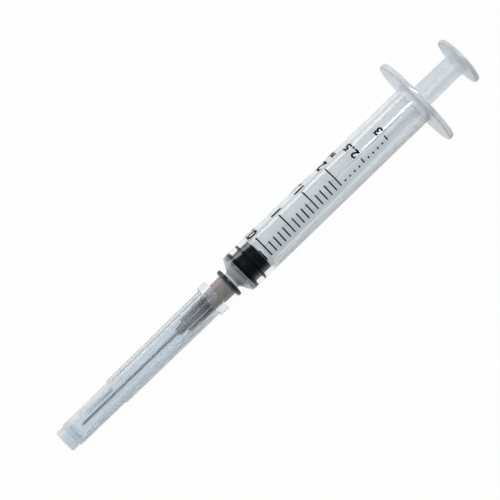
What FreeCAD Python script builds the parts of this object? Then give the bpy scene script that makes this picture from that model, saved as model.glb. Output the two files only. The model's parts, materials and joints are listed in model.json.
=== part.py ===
import FreeCAD, Part
import math
import os

# A 3 mL luer slip syringe with its capped needle fitted and its plunger home.
# Every size is in millimetres. While the pieces are made, X runs along the syringe from the
# needle to the thumb rest, x = 0 is the zero line of the scale, and Z points at the printed
# side. At the end the whole syringe is laid down on its finger flange and the tip of its cap.

# the largest edge break that is straight, where larger ones are round
small_edge = 1.0
# lengths under this count as none
no_length = 1e-6

# barrel
bore_d = 9.0
barrel_wall = 0.82
barrel_len = 58.75
shoulder_setback = 0.95
nose_len = 1.75
shoulder_round = 0.5
nose_fillet = 0.5
bead_to_flange = 3.5
bead_w = 0.7
bead_h = 0.14
bead_ramp = 0.5
mouth_chamfer = 0.3

# finger flange, an oval plate
flange_long = 24.6
flange_short = 15.4
flange_end_r = 6.5
flange_t = 1.45
flange_edge_break = 0.3
flange_fillet = 1.0

# luer slip tip, a 6 % taper on the diameter
luer_tip_d = 3.93
luer_taper = 0.06
luer_len = 7.5
luer_bore_d = 1.5
luer_edge_round = 0.12

# stopper
rib_clearance = 0.02
cone_len = 2.2
cone_tip_d = 2.6
cone_tip_round = 0.35
nose_gap = 0.05
rib1_w = 0.98
rib2_x = 2.93
rib2_w = 0.70
rib_flank = 0.15
stopper_relief = 0.33
stopper_len = 6.06
stopper_edge_round = 0.3

# plunger rod
socket_gap = 0.05
neck_d = 3.0
neck_len = 2.1
head_d = 4.6
head_len = 2.3
head_nose_d = 2.2
head_nose_len = 1.0
front_disc_clearance = 0.25
front_disc_t = 1.2
cross_front_d = 6.4
cross_back_d = 5.7
cross_t = 1.25
cross_flare = 0.6
rod_exposed = 13.05
rod_turn_deg = 11.0
thumb_d = 13.5
thumb_t = 1.15
thumb_edge_round = 0.35
groove_first_d = 3.6
groove_step = 1.3
groove_count = 3
groove_w = 0.45
groove_depth = 0.2

# needle hub
hub_gap = 0.8
seat_clearance = 0.02
hub_flange_d = 7.8
hub_flange_t = 1.1
hub_flange_bevel_x = 0.25
hub_flange_bevel_r = 0.45
hub_base_d = 5.66
hub_base_len = 3.4
hub_base_draft = 0.07
hub_seat_d = 5.0
hub_seat_len = 3.5
hub_seat_draft = 0.1
cavity_past_tip = 3.1
cavity_cone_len = 1.0
hub_chamber_d = 4.66
hub_chamber_len = 3.25
hub_core_d = 2.3
hub_nose_d = 2.2
hub_nose_len = 2.05
fin_d = 3.94
fin_len = 4.2
fin_t = 0.7
fin_front_round = 1.1
hub_edge_break = 0.1

# needle, 22 gauge
needle_d = 0.72
needle_bore_d = 0.41
needle_exposed = 32.0
needle_seat_clearance = 0.02
bevel_deg = 15.0
lancet_deg = 20.0
lancet_turn_deg = 32.0
lancet_lift = 0.08
glue_well_d = 1.5
glue_well_floor_d = 1.0
glue_well_depth = 1.2
glue_cone_len = 1.0
glue_tail = 0.05

# needle cap
cap_grip_clearance = 0.03
cap_mouth_gap = 0.1
cap_lead_in = 0.15
cap_wall = 0.95
cap_bore_tip_d = 4.6
cap_bore_end_cone = 1.2
cap_point_clearance = 3.0
cap_end_wall = 2.8
cap_collar_d = 8.7
cap_collar_len = 2.6
cap_collar_round = 0.3
cap_button_d = 5.92
cap_button_len = 2.6
cap_button_round = 0.45
cap_button_ramp = 0.35
grip_rib_count = 8
grip_rib_w = 1.25
grip_rib_h = 0.28
grip_rib_ramp = 0.5
grip_rib_from_end = 16.95
grip_rib_turn_deg = -17.0

# printed scale
scale_ml = 3.0
mark_step_ml = 0.1
solid_lines_to_ml = 2.0
long_every_ml = 0.5
ink_t = 0.03
mark_w = 0.37
long_mark_arc = 6.06
short_mark_arc = 3.06
tick_mark_arc = 1.35
dot_d = 0.52
baseline_deg = 28.0
print_skew = 0.018

# where things lie along the syringe
bore_r = bore_d / 2
outer_r = bore_r + barrel_wall
shoulder_x = -shoulder_setback
nose_x = shoulder_x - nose_len
luer_x = nose_x - luer_len
luer_tip_r = luer_tip_d / 2
luer_base_r = luer_tip_r + luer_taper / 2 * luer_len
flange_x = barrel_len
barrel_end_x = flange_x + flange_t
bead_x = flange_x - bead_to_flange
rib_r = bore_r - rib_clearance
thumb_x = barrel_end_x + rod_exposed
rod_end_x = thumb_x + thumb_t
hub_x = nose_x - hub_gap
hub_shoulder_x = hub_x - hub_flange_t - hub_base_len
hub_seat_end_x = hub_shoulder_x - hub_seat_len
hub_chamber_end_x = hub_seat_end_x - hub_chamber_len
hub_fin_end_x = hub_chamber_end_x - fin_len
hub_nose_x = hub_fin_end_x - hub_nose_len
cavity_end_x = luer_x - cavity_past_tip
needle_tip_x = hub_nose_x - needle_exposed
cap_mouth_x = hub_shoulder_x - cap_mouth_gap
cap_bore_end_x = needle_tip_x - cap_point_clearance
cap_end_x = cap_bore_end_x - cap_end_wall
cap_button_x = cap_end_x + cap_button_len
grip_rib_x = cap_end_x + grip_rib_from_end

# A stop-to-stop stroke: the second rib runs against the bead in the barrel's mouth.
plunger_travel = bead_x - bead_w / 2 - bead_ramp - (rib2_x + rib2_w)

x_axis = FreeCAD.Vector(1, 0, 0)
origin = FreeCAD.Vector(0, 0, 0)


def rounded_wire(corners):
    # A closed wire in the XZ plane through corners (x, z) or (x, z, rounding). A rounding no
    # larger than small_edge is a straight edge break.
    points = [FreeCAD.Vector(c[0], 0, c[1]) for c in corners]
    rounds = [c[2] if len(c) > 2 else 0 for c in corners]
    count = len(corners)
    spans = []
    for i in range(count):
        here, before, after = points[i], points[i - 1], points[(i + 1) % count]
        if rounds[i] == 0:
            spans.append((here, None, here))
            continue
        back = (before - here).normalize()
        ahead = (after - here).normalize()
        half = back.getAngle(ahead) / 2
        reach = rounds[i] / math.tan(half)
        inward = (back + ahead).normalize()
        middle = here + inward * (rounds[i] / math.sin(half) - rounds[i])
        spans.append((here + back * reach, middle, here + ahead * reach))
    edges = []
    for i, (start, middle, end) in enumerate(spans):
        if middle is not None and rounds[i] > small_edge:
            edges.append(Part.Arc(start, middle, end).toShape())
        elif middle is not None:
            edges.append(Part.LineSegment(start, end).toShape())
        following = spans[(i + 1) % count][0]
        if end.distanceToPoint(following) > no_length:
            edges.append(Part.LineSegment(end, following).toShape())
    return Part.Wire(edges)


def turned(corners):
    # A body of revolution about the syringe's axis.
    return Part.Face(rounded_wire(corners)).revolve(origin, x_axis, 360)


def spun(shape, degrees):
    copy = shape.copy()
    copy.rotate(origin, x_axis, degrees)
    return copy


def cross_bars(x0, x1, reach, thickness, turn_deg):
    # Two crossed plates along the axis, as in a plunger rod or a finned hub.
    plate = Part.makeBox(x1 - x0, thickness, 2 * reach,
                         FreeCAD.Vector(x0, -thickness / 2, -reach))
    return spun(plate, turn_deg).fuse(spun(plate, turn_deg + 90))


def oval_plate(x0, thickness, long_d, short_d, end_r, edge_break):
    # An oval of two wide arcs and two end arcs that meet without a corner.
    a, b = long_d / 2, short_d / 2
    end_c = a - end_r
    side_r = (end_c ** 2 + b ** 2 - end_r ** 2) / (2 * (b - end_r))
    side_c = side_r - b
    lean = math.atan2(end_c, side_c)
    join_y, join_z = side_r * math.sin(lean), side_r * math.cos(lean) - side_c
    at = lambda y, z: FreeCAD.Vector(x0, y, z)
    arcs = [
        Part.Arc(at(-join_y, join_z), at(0, b), at(join_y, join_z)),
        Part.Arc(at(join_y, join_z), at(a, 0), at(join_y, -join_z)),
        Part.Arc(at(join_y, -join_z), at(0, -b), at(-join_y, -join_z)),
        Part.Arc(at(-join_y, -join_z), at(-a, 0), at(-join_y, join_z)),
    ]
    plate = Part.Face(Part.Wire([arc.toShape() for arc in arcs])).extrude(x_axis * thickness)
    rims = [e for e in plate.Edges if e.BoundBox.XLength < no_length]
    return plate.makeChamfer(edge_break, rims)


def make_barrel():
    sink = flange_t / 2
    body = turned([
        (luer_x, 0),
        (luer_x, luer_tip_r, luer_edge_round),
        (nose_x, luer_base_r, nose_fillet),
        (shoulder_x, outer_r, shoulder_round),
        (flange_x, outer_r, flange_fillet),
        (flange_x, outer_r + flange_fillet),
        (flange_x + sink, outer_r + flange_fillet),
        (flange_x + sink, 0),
    ])
    plate = oval_plate(flange_x, flange_t, flange_long, flange_short,
                       flange_end_r, flange_edge_break)
    past = 1.0
    luer_bore_r = luer_bore_d / 2
    bead_r = bore_r - bead_h
    bead_front, bead_back = bead_x - bead_w / 2, bead_x + bead_w / 2
    bore = turned([
        (luer_x - past, 0),
        (luer_x - past, luer_bore_r),
        (-cone_len - nose_gap, luer_bore_r),
        (-cone_len - nose_gap, cone_tip_d / 2),
        (-nose_gap, bore_r),
        (bead_front - bead_ramp, bore_r, bead_ramp),
        (bead_front, bead_r),
        (bead_back, bead_r),
        (bead_back + bead_ramp, bore_r),
        (barrel_end_x - mouth_chamfer, bore_r),
        (barrel_end_x + past, bore_r + mouth_chamfer + past),
        (barrel_end_x + past, 0),
    ])
    return body.fuse(plate).cut(bore).removeSplitter()


def make_stopper():
    body_r = rib_r - stopper_relief
    rib2_end = rib2_x + rib2_w
    socket_end_x = stopper_len - neck_len - head_len - socket_gap
    socket_throat_r = neck_d / 2 + socket_gap
    socket_r = head_d / 2 + socket_gap
    return turned([
        (-cone_len, 0),
        (-cone_len, cone_tip_d / 2, cone_tip_round),
        (0, rib_r),
        (rib1_w, rib_r),
        (rib1_w + rib_flank, body_r),
        (rib2_x - rib_flank, body_r),
        (rib2_x, rib_r),
        (rib2_end, rib_r),
        (rib2_end + rib_flank, body_r),
        (stopper_len, body_r, stopper_edge_round),
        (stopper_len, socket_throat_r),
        (stopper_len - neck_len + socket_gap, socket_throat_r),
        (stopper_len - neck_len + socket_gap, socket_r),
        (socket_end_x + head_nose_len, socket_r),
        (socket_end_x, head_nose_d / 2 + socket_gap),
        (socket_end_x, 0),
    ])


def make_plunger_rod():
    disc_x = stopper_len + socket_gap
    disc_r = bore_r - front_disc_clearance
    cross_x = disc_x + front_disc_t
    head_back_x = stopper_len - neck_len
    head_x = head_back_x - head_len
    head = turned([
        (head_x, 0),
        (head_x, head_nose_d / 2),
        (head_x + head_nose_len, head_d / 2),
        (head_back_x, head_d / 2),
        (head_back_x, neck_d / 2),
        (disc_x, neck_d / 2),
        (disc_x, disc_r),
        (cross_x, disc_r),
        (cross_x, 0),
    ])
    lap = 0.1
    cross_reach = turned([
        (cross_x - lap, 0),
        (cross_x - lap, cross_front_d / 2 + cross_flare),
        (cross_x, cross_front_d / 2 + cross_flare),
        (cross_x, cross_front_d / 2, cross_flare),
        (thumb_x, cross_back_d / 2, cross_flare),
        (thumb_x, cross_back_d / 2 + cross_flare),
        (thumb_x + lap, cross_back_d / 2 + cross_flare),
        (thumb_x + lap, 0),
    ])
    bars = cross_bars(cross_x - lap, thumb_x + lap, disc_r, cross_t, rod_turn_deg)
    face = [(thumb_x, 0), (thumb_x, thumb_d / 2, thumb_edge_round)]
    face.append((rod_end_x, thumb_d / 2, thumb_edge_round))
    for i in reversed(range(groove_count)):
        middle_r = groove_first_d / 2 + i * groove_step
        face.append((rod_end_x, middle_r + groove_w / 2))
        face.append((rod_end_x - groove_depth, middle_r))
        face.append((rod_end_x, middle_r - groove_w / 2))
    face.append((rod_end_x, 0))
    return head.fuse([bars.common(cross_reach), turned(face)]).removeSplitter()


def make_needle_hub():
    base_r = hub_base_d / 2
    seat_r = hub_seat_d / 2
    flange_r = hub_flange_d / 2
    flange_back_x = hub_x - hub_flange_t
    body = turned([
        (hub_x, 0),
        (hub_x, flange_r),
        (flange_back_x + hub_flange_bevel_x, flange_r),
        (flange_back_x, flange_r - hub_flange_bevel_r),
        (flange_back_x, base_r),
        (hub_shoulder_x, base_r - hub_base_draft),
        (hub_shoulder_x, seat_r),
        (hub_seat_end_x, seat_r - hub_seat_draft, hub_edge_break),
        (hub_seat_end_x, hub_chamber_d / 2),
        (hub_chamber_end_x, hub_chamber_d / 2, hub_edge_break),
        (hub_chamber_end_x, hub_core_d / 2),
        (hub_nose_x, hub_nose_d / 2),
        (hub_nose_x, 0),
    ])
    lap = 0.1
    fin_reach = turned([
        (hub_chamber_end_x + lap, 0),
        (hub_chamber_end_x + lap, fin_d / 2),
        (hub_fin_end_x, fin_d / 2, fin_front_round),
        (hub_fin_end_x, 0),
    ])
    fins = cross_bars(hub_fin_end_x, hub_chamber_end_x + lap, fin_d, fin_t, 0)
    cavity_mouth_r = luer_tip_r + luer_taper / 2 * (hub_x - luer_x) + seat_clearance
    cavity_end_r = cavity_mouth_r - luer_taper / 2 * (hub_x - cavity_end_x)
    hole_r = needle_d / 2 + needle_seat_clearance
    past = 1.0
    hollow = turned([
        (hub_x + past, 0),
        (hub_x + past, cavity_mouth_r + luer_taper / 2 * past),
        (cavity_end_x, cavity_end_r),
        (cavity_end_x - cavity_cone_len, hole_r),
        (hub_nose_x + glue_well_depth, hole_r),
        (hub_nose_x + glue_well_depth, glue_well_floor_d / 2),
        (hub_nose_x, glue_well_d / 2),
        (hub_nose_x - past, glue_well_d / 2),
        (hub_nose_x - past, 0),
    ])
    return body.fuse(fins.common(fin_reach)).cut(hollow).removeSplitter()


def make_needle_tube():
    start_x = cavity_end_x - cavity_cone_len
    r = needle_d / 2
    length = start_x - needle_tip_x
    base = FreeCAD.Vector(needle_tip_x, 0, 0)
    tube = Part.makeCylinder(r, length, base, x_axis)
    tube = tube.cut(Part.makeCylinder(needle_bore_d / 2, length, base, x_axis))

    def ground_facet(angle_deg, lift, turn_deg):
        # The wedge that a grinding wheel takes off, with its foot at the needle's point.
        foot = FreeCAD.Vector(needle_tip_x, -needle_d, lift - r)
        run = 3 * needle_d / math.tan(math.radians(angle_deg))
        top = FreeCAD.Vector(needle_tip_x + run, -needle_d, lift - r + 3 * needle_d)
        corner = FreeCAD.Vector(needle_tip_x, -needle_d, top.z)
        wedge = Part.Face(Part.makePolygon([foot, top, corner, foot]))
        return spun(wedge.extrude(FreeCAD.Vector(0, 2 * needle_d, 0)), turn_deg)

    tube = tube.cut(ground_facet(bevel_deg, 0, 0))
    for side in (-1, 1):
        tube = tube.cut(ground_facet(lancet_deg, lancet_lift, side * lancet_turn_deg))
    return tube


def make_needle_adhesive():
    r = needle_d / 2
    return turned([
        (hub_nose_x + glue_well_depth, r),
        (hub_nose_x + glue_well_depth, glue_well_floor_d / 2),
        (hub_nose_x, glue_well_d / 2),
        (hub_nose_x - glue_cone_len, r + glue_tail),
        (hub_nose_x - glue_cone_len, r),
    ])


def make_needle_cap():
    grip_r = hub_seat_d / 2 + cap_grip_clearance
    grip_end_r = grip_r - hub_seat_draft
    tip_r = cap_bore_tip_d / 2
    skin_root_r = grip_r + cap_wall
    skin_tip_r = tip_r + cap_wall
    collar_end_x = cap_mouth_x - cap_collar_len
    button_r = cap_button_d / 2
    collar_r = cap_collar_d / 2

    def skin_r(x):
        # The tube's outside tapers evenly from the collar to the button at its closed end.
        share = (x - cap_button_x) / (collar_end_x - cap_button_x)
        return skin_tip_r + (skin_root_r - skin_tip_r) * share

    body = turned([
        (cap_end_x, 0),
        (cap_end_x, button_r, cap_button_round),
        (cap_button_x - cap_button_ramp, button_r),
        (cap_button_x, skin_tip_r),
        (collar_end_x, skin_root_r),
        (collar_end_x, collar_r, cap_collar_round),
        (cap_mouth_x, collar_r, cap_collar_round),
        (cap_mouth_x, 0),
    ])
    root_r = skin_r(grip_rib_x)
    lap = 0.3
    rib_reach = turned([
        (grip_rib_x, 0),
        (grip_rib_x, root_r),
        (grip_rib_x + grip_rib_ramp, root_r + grip_rib_h),
        (collar_end_x, skin_root_r + grip_rib_h),
        (collar_end_x + lap, skin_root_r + grip_rib_h),
        (collar_end_x + lap, 0),
    ])
    bar = Part.makeBox(collar_end_x + lap - grip_rib_x, grip_rib_w, collar_r,
                       FreeCAD.Vector(grip_rib_x, -grip_rib_w / 2, 0))
    pitch = 360 / grip_rib_count
    bars = [spun(bar, grip_rib_turn_deg + i * pitch) for i in range(grip_rib_count)]
    ribs = bars[0].fuse(bars[1:]).common(rib_reach)
    past = 1.0
    hollow = turned([
        (cap_mouth_x + past, 0),
        (cap_mouth_x + past, grip_r + cap_lead_in + past),
        (cap_mouth_x - cap_lead_in, grip_r),
        (hub_seat_end_x, grip_end_r),
        (cap_bore_end_x + cap_bore_end_cone, tip_r),
        (cap_bore_end_x, tip_r - cap_bore_end_cone),
        (cap_bore_end_x, 0),
    ])
    return body.fuse(ribs).cut(hollow).removeSplitter()


def make_scale_print():
    bore_area = math.pi * bore_r ** 2
    mm_per_ml = 1000 / bore_area
    skin_r = outer_r + ink_t

    def mark(x, arc):
        # A line printed round the barrel, from the baseline towards the numerals.
        strip = Part.Face(rounded_wire([
            (x - mark_w / 2, outer_r),
            (x + mark_w / 2, outer_r),
            (x + mark_w / 2, skin_r),
            (x - mark_w / 2, skin_r),
        ]))
        sweep = math.degrees(arc / outer_r)
        return spun(strip.revolve(origin, x_axis, sweep), baseline_at(x) - sweep)

    def dot(x):
        disc = Part.makeCylinder(dot_d / 2, ink_t, FreeCAD.Vector(x, 0, outer_r))
        inset = math.degrees(dot_d / 2 / outer_r)
        return spun(disc, baseline_at(x) - inset)

    def baseline_at(x):
        # The print is rolled on a little askew.
        return baseline_deg - math.degrees(print_skew * x / outer_r)

    marks = []
    for step in range(round(scale_ml / mark_step_ml) + 1):
        volume = step * mark_step_ml
        x = volume * mm_per_ml
        on_long = step % round(long_every_ml / mark_step_ml) == 0
        if volume < solid_lines_to_ml + mark_step_ml / 2:
            marks.append(mark(x, long_mark_arc if on_long else short_mark_arc))
        elif on_long:
            marks.append(mark(x, tick_mark_arc))
        else:
            marks.append(dot(x))
    return Part.makeCompound([solid for m in marks for solid in m.Solids])


def rest_angle():
    # The syringe lies on the corner of its flange and on whichever comes to the ground first
    # of the barrel's shoulder and the cap's two corners.
    support_x = flange_x + flange_edge_break
    support_r = flange_short / 2
    return min(
        math.atan2(support_r - r, support_x - x)
        for x, r in (
            (shoulder_x + shoulder_round, outer_r),
            (cap_button_x, cap_bore_tip_d / 2 + cap_wall),
            (cap_end_x + cap_button_round, cap_button_d / 2),
        )
    )


pieces = {
    "barrel": make_barrel(),
    "scale_print": make_scale_print(),
    "stopper": make_stopper(),
    "plunger_rod": make_plunger_rod(),
    "needle_hub": make_needle_hub(),
    "needle_tube": make_needle_tube(),
    "needle_adhesive": make_needle_adhesive(),
    "needle_cap": make_needle_cap(),
}

# Lay the syringe down, with the middle of its footprint at the origin and z = 0 on the ground.
lean = FreeCAD.Rotation(FreeCAD.Vector(0, 1, 0), -math.degrees(rest_angle()))
leaned = FreeCAD.Placement(origin, lean).toMatrix()
extent = Part.makeCompound([s.transformed(leaned) for s in pieces.values()])
extent = extent.optimalBoundingBox(False, False)
ground = FreeCAD.Vector(-extent.Center.x, -extent.Center.y, -extent.ZMin)
lay_down = FreeCAD.Placement(ground, lean)

os.makedirs("parts", exist_ok=True)
for name, shape in pieces.items():
    laid = shape.transformed(lay_down.toMatrix(), copy=True)
    laid.exportStep("parts/" + name + ".step")
    solids = laid.Solids
    volume = sum(solid.Volume for solid in solids)
    print(name, len(solids), "solid(s)", round(volume, 3), "mm3, valid", laid.isValid())
print("plunger travel", round(plunger_travel, 3), "rest angle", round(math.degrees(rest_angle()), 3))
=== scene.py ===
import bpy
import bmesh
import json
import math
from mathutils import Matrix, Vector


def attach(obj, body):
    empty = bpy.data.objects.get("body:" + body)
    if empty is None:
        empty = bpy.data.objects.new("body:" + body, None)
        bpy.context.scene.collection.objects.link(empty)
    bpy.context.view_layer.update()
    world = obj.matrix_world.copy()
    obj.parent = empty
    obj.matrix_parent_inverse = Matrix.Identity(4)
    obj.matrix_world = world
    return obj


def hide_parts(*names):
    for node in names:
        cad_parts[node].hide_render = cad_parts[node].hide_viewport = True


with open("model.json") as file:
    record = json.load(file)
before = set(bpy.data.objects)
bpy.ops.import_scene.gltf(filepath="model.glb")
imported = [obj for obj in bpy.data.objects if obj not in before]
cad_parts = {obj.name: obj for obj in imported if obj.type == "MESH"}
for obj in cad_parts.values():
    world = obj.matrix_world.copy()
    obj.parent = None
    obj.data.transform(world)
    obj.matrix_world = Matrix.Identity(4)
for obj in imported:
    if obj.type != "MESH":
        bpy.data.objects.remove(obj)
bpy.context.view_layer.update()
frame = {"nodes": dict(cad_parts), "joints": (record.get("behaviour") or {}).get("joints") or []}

nodes = frame["nodes"]
twist = next(joint for joint in frame["joints"] if joint["name"] == "plunger_twist")
axisPoint = Vector(twist["pos_m"])  # on the syringe's axis, at the zero line
axisWay = Vector(twist["axis"])  # towards the thumb rest

# Every piece is modelled in millimetres with X along the syringe, and then laid down.
leanTurn = Matrix.Rotation(math.atan2(-axisWay.z, axisWay.x), 4, "Y")
rigidPlace = Matrix.Translation(axisPoint) @ leanTurn
layDown = rigidPlace @ Matrix.Scale(0.001, 4)
print("frame loaded, axis through", tuple(round(v, 5) for v in axisPoint))


def srgb(code, alpha=1.0):
    # "#RRGGBB" to linear colour
    parts = [int(code[i:i + 2], 16) / 255 for i in (1, 3, 5)]
    return [p / 12.92 if p <= 0.04045 else ((p + 0.055) / 1.055) ** 2.4 for p in parts] + [alpha]


def addNode(tree, kind, settings=None, links=None):
    # settings: {socket or property: value}, links: {socket: output socket}
    node = tree.nodes.new(kind)
    for key, value in (settings or {}).items():
        if isinstance(key, str) and hasattr(node, key) and key not in node.inputs:
            setattr(node, key, value)
        else:
            node.inputs[key].default_value = value
    for key, source in (links or {}).items():
        tree.links.new(source, node.inputs[key])
    return node


# Lathe work

def turnProfile(corners, steps, closedLoop=False):
    # Spins a profile of (x, radius) or (x, radius, rounding) corners round the X axis.
    bm = bmesh.new()
    verts = [bm.verts.new((c[0], 0, c[1])) for c in corners]
    count = len(verts)
    for i in range(count if closedLoop else count - 1):
        bm.edges.new((verts[i], verts[(i + 1) % count]))
    for i, corner in enumerate(corners):
        if len(corner) < 3:
            continue
        here = Vector(corner[:2])
        back = Vector(corners[i - 1][:2]) - here
        ahead = Vector(corners[(i + 1) % count][:2]) - here
        reach = corner[2] / math.tan(back.angle(ahead) / 2)
        turnedBy = math.pi - back.angle(ahead)
        parts = max(2, round(turnedBy / math.radians(14)))
        bmesh.ops.bevel(bm, geom=[verts[i]], offset=reach, offset_type="OFFSET", segments=parts,
                        profile=0.5, affect="VERTICES", material=-1)
    bmesh.ops.spin(bm, geom=bm.verts[:] + bm.edges[:], cent=(0, 0, 0), axis=(1, 0, 0),
                   dvec=(0, 0, 0), angle=2 * math.pi, steps=steps, use_merge=True, use_duplicate=False)
    bmesh.ops.remove_doubles(bm, verts=bm.verts[:], dist=1e-4)
    bmesh.ops.dissolve_degenerate(bm, edges=bm.edges[:], dist=1e-5)
    bmesh.ops.recalc_face_normals(bm, faces=bm.faces[:])
    return bm


def barAlong(x0, x1, low, high, width, turnDeg):
    # A bar along the axis, between two radii, turned about the axis.
    bm = bmesh.new()
    bmesh.ops.create_cube(bm, size=1)
    bmesh.ops.scale(bm, vec=(x1 - x0, width, high - low), verts=bm.verts[:])
    bmesh.ops.translate(bm, vec=((x0 + x1) / 2, 0, (low + high) / 2), verts=bm.verts[:])
    turn = Matrix.Rotation(math.radians(turnDeg), 3, "X")
    bmesh.ops.rotate(bm, cent=(0, 0, 0), matrix=turn, verts=bm.verts[:])
    return bm


def meshFrom(bm, name):
    mesh = bpy.data.meshes.new(name)
    bm.to_mesh(mesh)
    bm.free()
    return mesh


def combine(first, others, operation):
    # Exact union, cut or overlap of closed meshes, in millimetres.
    scene = bpy.context.scene
    base = bpy.data.objects.new("base", first)
    scene.collection.objects.link(base)
    helpers = []
    for i, mesh in enumerate(others):
        helper = bpy.data.objects.new("helper" + str(i), mesh)
        scene.collection.objects.link(helper)
        helpers.append(helper)
        step = base.modifiers.new("combine" + str(i), "BOOLEAN")
        step.operation = operation
        step.solver = "EXACT"
        step.object = helper
    bpy.context.view_layer.update()
    result = bpy.data.meshes.new_from_object(base.evaluated_get(bpy.context.evaluated_depsgraph_get()))
    for helper in helpers + [base]:
        bpy.data.objects.remove(helper)
    return result


def placePiece(name, mesh, body, node, material, sharpDeg=32):
    # Lays the mesh down in the frame, smooths it and lets it stand for its node.
    bm = bmesh.new()
    bm.from_mesh(mesh)
    bmesh.ops.remove_doubles(bm, verts=bm.verts[:], dist=2e-4)
    bm.to_mesh(mesh)
    bm.free()
    mesh.transform(layDown)
    mesh.shade_smooth()
    mesh.set_sharp_from_angle(angle=math.radians(sharpDeg))
    mesh.name = name
    piece = bpy.data.objects.new(name, mesh)
    bpy.context.scene.collection.objects.link(piece)
    piece.data.materials.clear()
    piece.data.materials.append(material)
    weigh = piece.modifiers.new("weigh", "WEIGHTED_NORMAL")
    weigh.keep_sharp = True
    weigh.weight = 50
    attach(piece, body)
    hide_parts(node)
    print("made", name, len(mesh.polygons), "faces")


# Materials

def newMaterial(name):
    material = bpy.data.materials.new(name)
    material.use_nodes = True
    tree = material.node_tree
    tree.nodes.clear()
    return material, tree


def polypropylene(name, look):
    # Injection-moulded polypropylene, natural: nearly clear in a thin wall and milky in a
    # thick one, with a waxy gloss and a little flow waviness from the mould.
    material, tree = newMaterial(name)
    place = addNode(tree, "ShaderNodeTexCoord")
    along = addNode(tree, "ShaderNodeVectorMath", {"operation": "DOT_PRODUCT", 1: tuple(axisWay)},
                    {0: place.outputs["Object"]})
    thickness = []
    for startX, endX in look["thick"]:
        thickness.append(addNode(tree, "ShaderNodeMapRange", {
            "interpolation_type": "SMOOTHSTEP", "From Min": axisPoint.dot(axisWay) + startX / 1000,
            "From Max": axisPoint.dot(axisWay) + endX / 1000}, {"Value": along.outputs["Value"]}))
    thick = addNode(tree, "ShaderNodeMath", {"operation": "MAXIMUM"},
                    {0: thickness[0].outputs["Result"], 1: thickness[-1].outputs["Result"]})
    # towards its outline the wall is seen through more plastic, and clears less
    slant = addNode(tree, "ShaderNodeLayerWeight", {"Blend": 0.5})
    rim = addNode(tree, "ShaderNodeMapRange", {
        "interpolation_type": "SMOOTHSTEP", "From Min": 0.1, "From Max": 0.55, "To Min": look["seeThrough"],
        "To Max": look["seeThroughRim"]}, {"Value": slant.outputs["Facing"]})
    haze = addNode(tree, "ShaderNodeMapRange", {
        "interpolation_type": "SMOOTHSTEP", "From Min": axisPoint.dot(axisWay) + look["haze"][0] / 1000,
        "From Max": axisPoint.dot(axisWay) + look["haze"][1] / 1000}, {"Value": along.outputs["Value"]})
    thin = addNode(tree, "ShaderNodeMix", {"data_type": "FLOAT", 2: 1.0},
                   {0: haze.outputs["Result"], 3: rim.outputs["Result"]})
    clearness = addNode(tree, "ShaderNodeMix", {"data_type": "FLOAT", 3: look["seeThroughThick"]},
                        {0: thick.outputs[0], 2: thin.outputs[0]})
    tone = addNode(tree, "ShaderNodeMix", {"data_type": "RGBA", 6: srgb(look["clear"]), 7: srgb(look["milky"])},
                   {0: thick.outputs[0]})
    flow = addNode(tree, "ShaderNodeTexNoise", {"Scale": 1000 / look["flowMm"], "Detail": 2.0, "Roughness": 0.5},
                   {"Vector": place.outputs["Object"]})
    waves = addNode(tree, "ShaderNodeBump", {"Strength": look["flowDepth"], "Distance": 0.00002},
                    {"Height": flow.outputs["Fac"]})
    gloss = addNode(tree, "ShaderNodeMapRange", {"To Min": look["rough"] * 0.8, "To Max": look["rough"] * 1.25},
                    {"Value": flow.outputs["Fac"]})
    wall = addNode(tree, "ShaderNodeBsdfPrincipled",
                   {"IOR": 1.49, "Specular IOR Level": look["shine"]},
                   {"Base Color": tone.outputs[2], "Roughness": gloss.outputs["Result"],
                    "Normal": waves.outputs["Normal"], "Transmission Weight": clearness.outputs[0]})
    # Light gets through to the ground as it does through a real clear wall.
    path = addNode(tree, "ShaderNodeLightPath")
    share = addNode(tree, "ShaderNodeMath", {"operation": "MULTIPLY", 1: look["lightThrough"]},
                    {0: path.outputs["Is Shadow Ray"]})
    clear = addNode(tree, "ShaderNodeBsdfTransparent", {"Color": srgb(look["clear"])})
    mixed = addNode(tree, "ShaderNodeMixShader", None,
                    {0: share.outputs[0], 1: wall.outputs["BSDF"], 2: clear.outputs["BSDF"]})
    addNode(tree, "ShaderNodeOutputMaterial", None, {"Surface": mixed.outputs["Shader"]})
    return material


# thick and haze are stretches along the axis, in mm
barrelLook = {"clear": "#F0F3F5", "milky": "#ECF0F4", "seeThrough": 0.97, "seeThroughRim": 0.35,
              "seeThroughThick": 0.42, "thick": [(56.5, 58.8), (-0.7, -1.3)], "haze": (5.6, 8.0),
              "rough": 0.05, "flowMm": 9.0, "flowDepth": 0.01, "lightThrough": 0.9, "shine": 0.12}
rodLook = {"clear": "#F2F3F4", "milky": "#ECF1F4", "seeThrough": 0.7, "seeThroughRim": 0.7, "seeThroughThick": 0.58,
           "thick": [(56.0, 60.0)], "haze": (-9.0, -8.0), "rough": 0.3, "flowMm": 4.0, "flowDepth": 0.08,
           "lightThrough": 0.8, "shine": 0.5}
capLook = {"clear": "#EDF2F6", "milky": "#E2E9EF", "seeThrough": 0.83, "seeThroughRim": 0.3, "seeThroughThick": 0.55,
           "thick": [(-54.0, -56.0)], "haze": (-8.2, -18.0), "rough": 0.16, "flowMm": 9.0, "flowDepth": 0.01,
           "lightThrough": 0.85, "shine": 0.4}
hubLook = {"clear": "#C6BDB9", "milky": "#35373A", "seeThrough": 0.5, "seeThroughRim": 0.5, "seeThroughThick": 0.25,
           "thick": [(-4.7, -4.4), (-9.0, -12.0)], "haze": (9.0, 8.0), "rough": 0.25, "flowMm": 3.0, "flowDepth": 0.08,
           "lightThrough": 0.2, "shine": 0.5}

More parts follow.
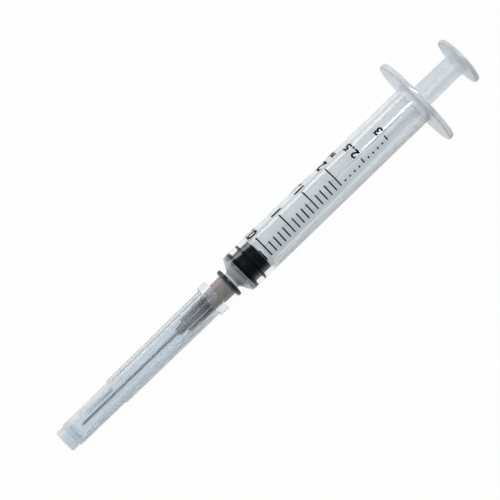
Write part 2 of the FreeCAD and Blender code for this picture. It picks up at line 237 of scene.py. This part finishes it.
barrelClear = polypropylene("clear polypropylene, moulded", barrelLook)
rodMilky = polypropylene("natural polypropylene, moulded", rodLook)
capMilky = polypropylene("cap polypropylene, moulded", capLook)
hubSmoke = polypropylene("smoke black polypropylene, moulded", hubLook)


def rubberMaterial():
    # Bromobutyl rubber, moulded and wiped with silicone oil: black, satin, finely pebbled.
    material, tree = newMaterial("bromobutyl rubber, moulded")
    place = addNode(tree, "ShaderNodeTexCoord")
    grain = addNode(tree, "ShaderNodeTexNoise", {"Scale": 1000 / 0.12, "Detail": 2.0},
                    {"Vector": place.outputs["Object"]})
    pebble = addNode(tree, "ShaderNodeBump", {"Strength": 0.12, "Distance": 0.000004},
                     {"Height": grain.outputs["Fac"]})
    gloss = addNode(tree, "ShaderNodeMapRange", {"To Min": 0.45, "To Max": 0.6}, {"Value": grain.outputs["Fac"]})
    skin = addNode(tree, "ShaderNodeBsdfPrincipled",
                   {"Base Color": srgb("#020304"), "IOR": 1.52, "Specular IOR Level": 0.03},
                   {"Roughness": gloss.outputs["Result"], "Normal": pebble.outputs["Normal"]})
    addNode(tree, "ShaderNodeOutputMaterial", None, {"Surface": skin.outputs["BSDF"]})
    return material


def steelMaterial():
    # Drawn stainless steel tube, polished: bright, with fine draw lines along its length.
    material, tree = newMaterial("stainless steel, drawn and polished")
    place = addNode(tree, "ShaderNodeTexCoord")
    lines = addNode(tree, "ShaderNodeMapping", {"Scale": (100, 8000, 8000)},
                    {"Vector": place.outputs["Object"]})
    drawn = addNode(tree, "ShaderNodeTexNoise", {"Scale": 1.0, "Detail": 2.0},
                    {"Vector": lines.outputs["Vector"]})
    gloss = addNode(tree, "ShaderNodeMapRange", {"To Min": 0.14, "To Max": 0.3}, {"Value": drawn.outputs["Fac"]})
    skin = addNode(tree, "ShaderNodeBsdfPrincipled", {"Base Color": srgb("#828B93"), "Metallic": 1.0},
                   {"Roughness": gloss.outputs["Result"]})
    addNode(tree, "ShaderNodeOutputMaterial", None, {"Surface": skin.outputs["BSDF"]})
    return material


def resinMaterial():
    # UV-cured acrylate adhesive: clear, glossy, with a smooth meniscus.
    material, tree = newMaterial("acrylate adhesive, cured")
    place = addNode(tree, "ShaderNodeTexCoord")
    swirl = addNode(tree, "ShaderNodeTexNoise", {"Scale": 1000 / 0.8, "Detail": 1.0},
                    {"Vector": place.outputs["Object"]})
    gloss = addNode(tree, "ShaderNodeMapRange", {"To Min": 0.05, "To Max": 0.15}, {"Value": swirl.outputs["Fac"]})
    skin = addNode(tree, "ShaderNodeBsdfPrincipled",
                   {"Base Color": srgb("#C9CED0"), "IOR": 1.5, "Transmission Weight": 0.8},
                   {"Roughness": gloss.outputs["Result"]})
    addNode(tree, "ShaderNodeOutputMaterial", None, {"Surface": skin.outputs["BSDF"]})
    return material


def inkMaterial():
    # Pad-printed ink: near black, matt, a little thinner in places.
    material, tree = newMaterial("printing ink, cured")
    place = addNode(tree, "ShaderNodeTexCoord")
    cover = addNode(tree, "ShaderNodeTexNoise", {"Scale": 1000 / 0.25, "Detail": 2.0},
                    {"Vector": place.outputs["Object"]})
    tone = addNode(tree, "ShaderNodeValToRGB", None, {"Fac": cover.outputs["Fac"]})
    tone.color_ramp.elements[0].position = 0.3
    tone.color_ramp.elements[0].color = srgb("#05070A")
    tone.color_ramp.elements[1].position = 0.75
    tone.color_ramp.elements[1].color = srgb("#0C1016")
    skin = addNode(tree, "ShaderNodeBsdfPrincipled",
                   {"Roughness": 0.6, "IOR": 1.5, "Specular IOR Level": 0.05},
                   {"Base Color": tone.outputs["Color"]})
    addNode(tree, "ShaderNodeOutputMaterial", None, {"Surface": skin.outputs["BSDF"]})
    return material


rubberBlack = rubberMaterial()
steelDrawn = steelMaterial()
resinClear = resinMaterial()
inkBlack = inkMaterial()
nodes["needle_tube"].data.materials.clear()
nodes["needle_tube"].data.materials.append(steelDrawn)
nodes["scale_print"].data.materials.clear()
nodes["scale_print"].data.materials.append(inkBlack)
print("materials ready")

# Sizes in millimetres along and across the axis; x = 0 is the scale's zero line.
barrel = {
    "boreR": 4.5, "outerR": 5.32, "shoulderX": -0.95, "noseX": -2.7, "luerX": -10.2,
    "luerTipR": 1.965, "luerBaseR": 2.19, "luerBoreR": 0.75, "flangeX": 58.75, "flangeT": 1.45,
    "filletR": 1.0, "beadX": 55.25, "beadW": 0.7, "beadH": 0.14, "beadRamp": 0.5,
    "coneLen": 2.2, "coneTipR": 1.3, "noseGap": 0.05, "mouthChamfer": 0.3,
    "flangeLong": 24.6, "flangeShort": 15.4, "flangeEndR": 6.5, "flangeEdge": 0.4,
}
stopper = {
    "ribR": 4.51, "bodyR": 4.15, "tipR": 1.3, "coneLen": 2.2, "rib1": (0.0, 0.98), "rib2": (2.93, 3.63),
    "length": 6.06, "edge": 0.14, "flank": 0.15, "flankRound": 0.12,
    "socketR": 2.35, "socketGap": 0.05, "throatR": 1.55,
}
rod = {
    "neckR": 1.5, "headR": 2.3, "headX": 1.66, "headNoseR": 1.1, "headNose": 1.0, "neckX": 3.96, "discX": 6.11,
    "discT": 1.2, "discR": 4.25, "crossFrontR": 3.2, "crossBackR": 2.85, "crossT": 1.25, "flare": 0.6,
    "thumbX": 73.25, "thumbT": 1.15, "thumbR": 6.75, "thumbEdge": 0.35, "turnDeg": 11.0,
    "grooveFirstR": 1.8, "grooveStep": 1.3, "grooveCount": 3, "grooveW": 0.45, "grooveDepth": 0.2,
}
hub = {
    "mouthX": -3.5, "flangeR": 3.9, "flangeT": 1.1, "bevelX": 0.25, "bevelR": 0.45, "baseR": 2.83, "baseEndR": 2.76,
    "shoulderX": -8.0,
    "seatR": 2.5, "seatEndR": 2.4, "seatX": -11.5, "chamberR": 2.33, "chamberX": -14.75, "finX": -18.95,
    "finR": 1.97, "finT": 0.7, "finFront": 1.1, "coreR": 1.15, "noseR": 1.1, "noseX": -21.0,
    "cavityMouthR": 2.186, "cavityEndR": 1.892, "cavityX": -13.3, "cavityCone": 1.0, "holeR": 0.38,
    "wellR": 0.75, "wellFloorR": 0.5, "wellDepth": 1.2, "glueCone": 1.0, "needleR": 0.36,
}
cap = {
    "mouthX": -8.1, "collarR": 4.35, "collarLen": 2.6, "collarRound": 0.3, "gripR": 2.53, "gripEndR": 2.43,
    "gripX": -11.5, "rootR": 3.48, "tipR": 3.25, "boreTipR": 2.3, "boreX": -56.0, "endX": -58.8,
    "buttonX": -56.2, "buttonR": 2.96, "buttonRamp": 0.35, "buttonRound": 0.45, "ribX": -41.85,
    "ribW": 1.25, "ribH": 0.28, "ribRamp": 0.5, "ribCount": 8, "ribTurnDeg": -17.0, "leadIn": 0.15,
}
smoothSteps = 160


def makeBarrel():
    b = barrel
    half = b["flangeT"] / 2
    bead0, bead1 = b["beadX"] - b["beadW"] / 2, b["beadX"] + b["beadW"] / 2
    endX = b["flangeX"] + b["flangeT"]
    rim = b["outerR"] + b["filletR"]
    body = meshFrom(turnProfile([
        (b["luerX"], 0),
        (b["luerX"], b["luerTipR"], 0.15),
        (b["noseX"], b["luerBaseR"], 0.6),
        (b["shoulderX"], b["outerR"], 0.5),
        (b["flangeX"], b["outerR"], b["filletR"]),
        (b["flangeX"], rim),
        (b["flangeX"] + half, rim),
        (b["flangeX"] + half, 0),
    ], smoothSteps), "body")
    plate = meshFrom(ovalPlate(), "plate")
    bore = meshFrom(turnProfile([
        (b["luerX"] - 1, 0),
        (b["luerX"] - 1, b["luerBoreR"]),
        (-b["coneLen"] - b["noseGap"], b["luerBoreR"]),
        (-b["coneLen"] - b["noseGap"], b["coneTipR"], 0.2),
        (-b["noseGap"], b["boreR"], 0.3),
        (bead0 - b["beadRamp"], b["boreR"], 0.5),
        (bead0, b["boreR"] - b["beadH"], 0.3),
        (bead1, b["boreR"] - b["beadH"], 0.3),
        (bead1 + b["beadRamp"], b["boreR"], 0.5),
        (endX - b["mouthChamfer"], b["boreR"], 0.3),
        (endX + 1, b["boreR"] + b["mouthChamfer"] + 1),
        (endX + 1, 0),
    ], smoothSteps), "bore")
    solid = combine(body, [plate], "UNION")
    return combine(solid, [bore], "DIFFERENCE")


def ovalPlate():
    # Two wide arcs and two end arcs that meet without a corner, extruded and rounded.
    b = barrel
    a, s = b["flangeLong"] / 2, b["flangeShort"] / 2
    endC = a - b["flangeEndR"]
    sideR = (endC ** 2 + s ** 2 - b["flangeEndR"] ** 2) / (2 * (s - b["flangeEndR"]))
    leanAngle = math.atan2(endC, sideR - s)
    bm = bmesh.new()
    start = bm.verts.new((b["flangeX"], sideR * math.sin(leanAngle), sideR * math.cos(leanAngle) - (sideR - s)))
    spinAbout = lambda verts, y, z, angle, steps: bmesh.ops.spin(
        bm, geom=verts, cent=(0, y, z), axis=(1, 0, 0), dvec=(0, 0, 0), angle=angle, steps=steps, use_duplicate=False)
    turns = [
        (endC, 0, -2 * (math.pi / 2 - leanAngle), 40),
        (0, sideR - s, -2 * leanAngle, 48),
        (-endC, 0, -2 * (math.pi / 2 - leanAngle), 40),
        (0, -(sideR - s), -2 * leanAngle, 48),
    ]
    last = [start]
    for y, z, angle, steps in turns:
        last = [v for v in spinAbout(last, y, z, angle, steps)["geom_last"] if isinstance(v, bmesh.types.BMVert)]
    bmesh.ops.remove_doubles(bm, verts=bm.verts[:], dist=1e-3)
    face = bmesh.ops.contextual_create(bm, geom=bm.edges[:])["faces"][0]
    raised = bmesh.ops.extrude_face_region(bm, geom=[face])
    top = [v for v in raised["geom"] if isinstance(v, bmesh.types.BMVert)]
    bmesh.ops.translate(bm, vec=(b["flangeT"], 0, 0), verts=top)
    rims = [e for e in bm.edges if abs(e.verts[0].co.x - e.verts[1].co.x) < 1e-6]
    bmesh.ops.bevel(bm, geom=rims, offset=b["flangeEdge"], segments=5, profile=0.5, affect="EDGES", material=-1)
    bmesh.ops.recalc_face_normals(bm, faces=bm.faces[:])
    return bm


def makeStopper():
    s = stopper
    (a0, a1), (b0, b1) = s["rib1"], s["rib2"]
    return meshFrom(turnProfile([
        (-s["coneLen"], 0),
        (-s["coneLen"], s["tipR"], 0.35),
        (a0, s["ribR"], s["edge"]),
        (a1, s["ribR"], s["edge"]),
        (a1 + s["flank"], s["bodyR"], s["flankRound"]),
        (b0 - s["flank"], s["bodyR"], s["flankRound"]),
        (b0, s["ribR"], s["edge"]),
        (b1, s["ribR"], s["edge"]),
        (b1 + s["flank"], s["bodyR"], s["flankRound"]),
        (s["length"], s["bodyR"], 0.3),
        (s["length"], s["throatR"], 0.1),
        (rod["neckX"] + s["socketGap"], s["throatR"]),
        (rod["neckX"] + s["socketGap"], s["socketR"]),
        (rod["headX"] - s["socketGap"] + rod["headNose"], s["socketR"]),
        (rod["headX"] - s["socketGap"], rod["headNoseR"] + s["socketGap"]),
        (rod["headX"] - s["socketGap"], 0),
    ], smoothSteps), "stopper")


def makeRod():
    r = rod
    crossX = r["discX"] + r["discT"]
    endX = r["thumbX"] + r["thumbT"]
    head = meshFrom(turnProfile([
        (r["headX"], 0),
        (r["headX"], r["headNoseR"], 0.2),
        (r["headX"] + r["headNose"], r["headR"], 0.3),
        (r["neckX"], r["headR"], 0.1),
        (r["neckX"], r["neckR"], 0.1),
        (r["discX"], r["neckR"], 0.2),
        (r["discX"], r["discR"], 0.2),
        (crossX, r["discR"], 0.2),
        (crossX, 0),
    ], smoothSteps), "head")
    thumb = [(r["thumbX"], 0), (r["thumbX"], r["thumbR"], r["thumbEdge"]), (endX, r["thumbR"], r["thumbEdge"])]
    for i in reversed(range(r["grooveCount"])):
        middle = r["grooveFirstR"] + i * r["grooveStep"]
        thumb += [(endX, middle + r["grooveW"] / 2, 0.05), (endX - r["grooveDepth"], middle, 0.08),
                  (endX, middle - r["grooveW"] / 2, 0.05)]
    thumb.append((endX, 0))
    reach = meshFrom(turnProfile([
        (crossX - 0.1, 0),
        (crossX - 0.1, r["crossFrontR"] + r["flare"]),
        (crossX, r["crossFrontR"] + r["flare"]),
        (crossX, r["crossFrontR"], r["flare"]),
        (r["thumbX"], r["crossBackR"], r["flare"]),
        (r["thumbX"], r["crossBackR"] + r["flare"]),
        (r["thumbX"] + 0.1, r["crossBackR"] + r["flare"]),
        (r["thumbX"] + 0.1, 0),
    ], smoothSteps), "reach")
    barOne, barTwo = [meshFrom(barAlong(crossX - 0.1, r["thumbX"] + 0.1, -r["discR"], r["discR"], r["crossT"],
                                        r["turnDeg"] + quarter), "bar") for quarter in (0, 90)]
    cross = combine(combine(barOne, [barTwo], "UNION"), [reach], "INTERSECT")
    return combine(cross, [head, meshFrom(turnProfile(thumb, smoothSteps), "thumb")], "UNION")


def makeHub():
    h = hub
    backX = h["mouthX"] - h["flangeT"]
    body = meshFrom(turnProfile([
        (h["mouthX"], 0),
        (h["mouthX"], h["flangeR"], 0.12),
        (backX + h["bevelX"], h["flangeR"], 0.15),
        (backX, h["flangeR"] - h["bevelR"], 0.12),
        (backX, h["baseR"], 0.15),
        (h["shoulderX"], h["baseEndR"], 0.12),
        (h["shoulderX"], h["seatR"]),
        (h["seatX"], h["seatEndR"], 0.12),
        (h["seatX"], h["chamberR"]),
        (h["chamberX"], h["chamberR"], 0.25),
        (h["chamberX"], h["coreR"], 0.2),
        (h["noseX"], h["noseR"], 0.12),
        (h["noseX"], 0),
    ], smoothSteps), "body")
    reach = meshFrom(turnProfile([
        (h["chamberX"] + 0.1, 0),
        (h["chamberX"] + 0.1, h["finR"]),
        (h["finX"], h["finR"], h["finFront"]),
        (h["finX"], 0),
    ], smoothSteps), "reach")
    finOne, finTwo = [meshFrom(barAlong(h["finX"] - 0.1, h["chamberX"] + 0.1, -h["finR"] - 0.5, h["finR"] + 0.5,
                                        h["finT"], quarter), "fin") for quarter in (0, 90)]
    fins = combine(combine(finOne, [finTwo], "UNION"), [reach], "INTERSECT")
    hollow = meshFrom(turnProfile([
        (h["mouthX"] + 1, 0),
        (h["mouthX"] + 1, h["cavityMouthR"] + 0.03),
        (h["cavityX"], h["cavityEndR"], 0.3),
        (h["cavityX"] - h["cavityCone"], h["holeR"]),
        (h["noseX"] + h["wellDepth"], h["holeR"]),
        (h["noseX"] + h["wellDepth"], h["wellFloorR"]),
        (h["noseX"], h["wellR"]),
        (h["noseX"] - 1, h["wellR"]),
        (h["noseX"] - 1, 0),
    ], smoothSteps), "hollow")
    return combine(combine(body, [fins], "UNION"), [hollow], "DIFFERENCE")


def makeAdhesive():
    h = hub
    return meshFrom(turnProfile([
        (h["noseX"] + h["wellDepth"], h["needleR"]),
        (h["noseX"] + h["wellDepth"], h["wellFloorR"]),
        (h["noseX"], h["wellR"]),
        (h["noseX"] - 0.35, 0.52, 0.3),
        (h["noseX"] - h["glueCone"], h["needleR"] + 0.03),
        (h["noseX"] - h["glueCone"], h["needleR"]),
    ], 64, closedLoop=True), "adhesive")


def makeCap():
    c = cap
    collarX = c["mouthX"] - c["collarLen"]
    share = (c["ribX"] - c["buttonX"]) / (collarX - c["buttonX"])
    ribRootR = c["tipR"] + (c["rootR"] - c["tipR"]) * share
    body = meshFrom(turnProfile([
        (c["endX"], 0),
        (c["endX"], c["buttonR"], c["buttonRound"]),
        (c["buttonX"] - c["buttonRamp"], c["buttonR"], 0.2),
        (c["buttonX"], c["tipR"], 0.1),
        (collarX, c["rootR"], 0.15),
        (collarX, c["collarR"], c["collarRound"]),
        (c["mouthX"], c["collarR"], c["collarRound"]),
        (c["mouthX"], 0),
    ], smoothSteps), "body")
    reach = meshFrom(turnProfile([
        (c["ribX"], 0),
        (c["ribX"], ribRootR),
        (c["ribX"] + c["ribRamp"], ribRootR + c["ribH"], 0.3),
        (collarX, c["rootR"] + c["ribH"]),
        (collarX + 0.3, c["rootR"] + c["ribH"]),
        (collarX + 0.3, 0),
    ], smoothSteps), "reach")
    pitch = 360 / c["ribCount"]
    ribs = [combine(meshFrom(barAlong(c["ribX"] - 0.1, collarX + 0.25, 1.5, c["collarR"], c["ribW"],
                                      c["ribTurnDeg"] + i * pitch), "rib"), [reach.copy()], "INTERSECT")
            for i in range(c["ribCount"])]
    hollow = meshFrom(turnProfile([
        (c["mouthX"] + 1, 0),
        (c["mouthX"] + 1, c["gripR"] + c["leadIn"] + 1),
        (c["mouthX"] - c["leadIn"], c["gripR"], 0.1),
        (c["gripX"], c["gripEndR"]),
        (c["boreX"], c["boreTipR"], 1.6),
        (c["boreX"], 0),
    ], smoothSteps), "hollow")
    return combine(combine(body, ribs, "UNION"), [hollow], "DIFFERENCE")


placePiece("barrelMoulding", makeBarrel(), "barrel", "barrel", barrelClear)
placePiece("stopperMoulding", makeStopper(), "stopper", "stopper", rubberBlack)
placePiece("rodMoulding", makeRod(), "plunger", "plunger_rod", rodMilky)
placePiece("hubMoulding", makeHub(), "needle", "needle_hub", hubSmoke)
placePiece("adhesiveDrop", makeAdhesive(), "needle", "needle_adhesive", resinClear)
placePiece("capMoulding", makeCap(), "cap", "needle_cap", capMilky)
print("pieces ready")

# Numerals beside the long lines, wrapped on the barrel: their tops point to the needle.
numerals = {
    "mmPerMl": 1000 / (math.pi * barrel["boreR"] ** 2), "inkT": 0.03, "skinR": barrel["outerR"],
    "startDeg": -47.5, "skewDegPerMm": -0.195,
    "tall": 3.2, "wide": 0.86, "spacing": 1.12,
    "smallTall": 2.35, "smallWide": 1.05, "smallStartDeg": 2.0, "smallShift": -0.25,
    "bold": 0.03, "unitDrop": 3.7, "unitTall": 2.0, "unitStartDeg": -50.0,
}


def wrapText(name, words, x, startDeg, tall, wide):
    n = numerals
    curve = bpy.data.curves.new(name, "FONT")
    curve.body = words
    curve.size = 1
    curve.resolution_u = 6
    curve.offset = n["bold"]
    curve.space_character = n["spacing"]
    holder = bpy.data.objects.new(name + "Flat", curve)
    bpy.context.scene.collection.objects.link(holder)
    bpy.context.view_layer.update()
    mesh = bpy.data.meshes.new_from_object(holder.evaluated_get(bpy.context.evaluated_depsgraph_get()))
    bpy.data.objects.remove(holder)
    bm = bmesh.new()
    bm.from_mesh(mesh)
    bmesh.ops.remove_doubles(bm, verts=bm.verts[:], dist=1e-4)
    lowY, highY = min(v.co.y for v in bm.verts), max(v.co.y for v in bm.verts)
    lowX = min(v.co.x for v in bm.verts)
    size = tall / (highY - lowY)
    for v in bm.verts:
        v.co = ((v.co.x - lowX) * size * wide, (v.co.y - (lowY + highY) / 2) * size, 0)
    bmesh.ops.triangulate(bm, faces=bm.faces[:])
    for pieceLength in (0.8, 0.4):
        longEdges = [e for e in bm.edges if e.calc_length() > pieceLength]
        bmesh.ops.subdivide_edges(bm, edges=longEdges, cuts=1)
        bmesh.ops.triangulate(bm, faces=bm.faces[:])
    raised = bmesh.ops.extrude_face_region(bm, geom=bm.faces[:])
    top = [v for v in raised["geom"] if isinstance(v, bmesh.types.BMVert)]
    bmesh.ops.translate(bm, vec=(0, 0, n["inkT"]), verts=top)
    for v in bm.verts:
        around = math.radians(startDeg + n["skewDegPerMm"] * x) - v.co.x / n["skinR"]
        radius = n["skinR"] + v.co.z + 0.002
        v.co = (x - v.co.y, -radius * math.sin(around), radius * math.cos(around))
    bmesh.ops.recalc_face_normals(bm, faces=bm.faces[:])
    mesh = meshFrom(bm, name)
    mesh.transform(layDown)
    piece = bpy.data.objects.new(name, mesh)
    bpy.context.scene.collection.objects.link(piece)
    piece.data.materials.append(inkBlack)
    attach(piece, "barrel")


for words, volume in (("0.5", 0.5), ("1", 1.0), ("1.5", 1.5), ("2", 2.0)):
    wrapText("numeral" + words.replace(".", "_"), words, volume * numerals["mmPerMl"], numerals["startDeg"],
             numerals["tall"], numerals["wide"])
for words, volume in (("2.5", 2.5), ("3", 3.0)):
    wrapText("numeral" + words.replace(".", "_"), words, volume * numerals["mmPerMl"] + numerals["smallShift"],
             numerals["smallStartDeg"], numerals["smallTall"], numerals["smallWide"])
wrapText("unitMark", "mL", 2.0 * numerals["mmPerMl"] + numerals["unitDrop"], numerals["unitStartDeg"],
         numerals["unitTall"], numerals["wide"])
print("numerals ready")

# Floor, light and camera
floorLook = {"size": 4.0, "colour": "#F4F4F4", "washedOut": 0.97}
floorBm = bmesh.new()
bmesh.ops.create_grid(floorBm, x_segments=1, y_segments=1, size=floorLook["size"] / 2)
floor = bpy.data.objects.new("floor", meshFrom(floorBm, "floor"))
bpy.context.scene.collection.objects.link(floor)
floorPaper, tree = newMaterial("white paper sweep")
place = addNode(tree, "ShaderNodeTexCoord")
fibre = addNode(tree, "ShaderNodeTexNoise", {"Scale": 1000 / 1.5, "Detail": 3.0},
                {"Vector": place.outputs["Object"]})
tooth = addNode(tree, "ShaderNodeBump", {"Strength": 0.05, "Distance": 0.00002},
                {"Height": fibre.outputs["Fac"]})
paper = addNode(tree, "ShaderNodeBsdfPrincipled",
                {"Base Color": srgb(floorLook["colour"]), "Roughness": 0.9, "Specular IOR Level": 0.0},
                {"Normal": tooth.outputs["Normal"]})
# The camera, and what mirrors or clear walls show, see mostly plain white with a faint shadow.
white = addNode(tree, "ShaderNodeEmission", {"Color": srgb("#FFFFFF"), "Strength": 1.0})
path = addNode(tree, "ShaderNodeLightPath")
seen = path.outputs["Is Camera Ray"]
for kind in ("Is Glossy Ray", "Is Transmission Ray"):
    seen = addNode(tree, "ShaderNodeMath", {"operation": "MAXIMUM"}, {0: seen, 1: path.outputs[kind]}).outputs[0]
washed = addNode(tree, "ShaderNodeMath", {"operation": "MULTIPLY", 1: floorLook["washedOut"]}, {0: seen})
blend = addNode(tree, "ShaderNodeMixShader", None,
                {0: washed.outputs[0], 1: paper.outputs["BSDF"], 2: white.outputs["Emission"]})
addNode(tree, "ShaderNodeOutputMaterial", None, {"Surface": blend.outputs["Shader"]})
floor.data.materials.append(floorPaper)

world = bpy.data.worlds.new("studio")
bpy.context.scene.world = world
world.use_nodes = True
tree = world.node_tree
tree.nodes.clear()
# bright walls all round and a darker ceiling, so that the black parts keep their depth
lookWay = addNode(tree, "ShaderNodeTexCoord")
height = addNode(tree, "ShaderNodeSeparateXYZ", None, {"Vector": lookWay.outputs["Generated"]})
ceiling = addNode(tree, "ShaderNodeMapRange", {"interpolation_type": "SMOOTHSTEP", "From Min": 0.0, "From Max": 0.5,
                                               "To Min": 1.0, "To Max": 0.11}, {"Value": height.outputs["Z"]})
dimSide = addNode(tree, "ShaderNodeMapRange", {"From Min": -0.7, "From Max": 0.7, "To Min": 0.7, "To Max": 1.05},
                  {"Value": height.outputs["Y"]})
brightness = addNode(tree, "ShaderNodeMath", {"operation": "MULTIPLY"},
                     {0: ceiling.outputs["Result"], 1: dimSide.outputs["Result"]})
sky = addNode(tree, "ShaderNodeBackground", {"Color": srgb("#F4F7FA")}, {"Strength": brightness.outputs[0]})
addNode(tree, "ShaderNodeOutputWorld", None, {"Surface": sky.outputs["Background"]})


def addSoftbox(name, local, target, size, watts, colour):
    light = bpy.data.lights.new(name, "AREA")
    light.shape = "RECTANGLE"
    light.size, light.size_y = size
    light.energy = watts
    light.color = srgb(colour)[:3]
    holder = bpy.data.objects.new(name, light)
    bpy.context.scene.collection.objects.link(holder)
    where = rigidPlace @ (Vector(local) / 1000)
    way = (rigidPlace @ (Vector(target) / 1000)) - where
    holder.matrix_world = Matrix.Translation(where) @ way.to_track_quat("-Z", "Y").to_matrix().to_4x4()


addSoftbox("softboxKey", (-60, 700, 125), (0, 0, 0), (0.7, 0.2), 1.2, "#FFFFFF")
addSoftbox("stripLight", (205, 138, 600), (40, 0, 0), (0.2, 0.06), 2.1, "#FFFFFF")

# The camera stands above the needle end and looks along the photograph's line.
view = {"aimX": 5.2, "aimY": 2.2, "height": 555.0, "leanDeg": 4.06, "rollDeg": 44.04, "lens": 166.1}
cameraData = bpy.data.cameras.new("camera")
cameraData.lens = view["lens"]
cameraData.sensor_width = 36
cameraData.clip_start = 0.01
camera = bpy.data.objects.new("camera", cameraData)
bpy.context.scene.collection.objects.link(camera)
aim = Matrix.Translation(Vector((view["aimX"], view["aimY"], 0)) / 1000)
lean = Matrix.Rotation(-math.radians(view["leanDeg"]), 4, "Y")
roll = Matrix.Rotation(-math.radians(view["rollDeg"]), 4, "Z")
back = Matrix.Translation((0, 0, view["height"] / math.cos(math.radians(view["leanDeg"])) / 1000))
camera.matrix_world = rigidPlace @ aim @ lean @ roll @ back
bpy.context.scene.camera = camera

bpy.context.scene.view_settings.view_transform = "Standard"
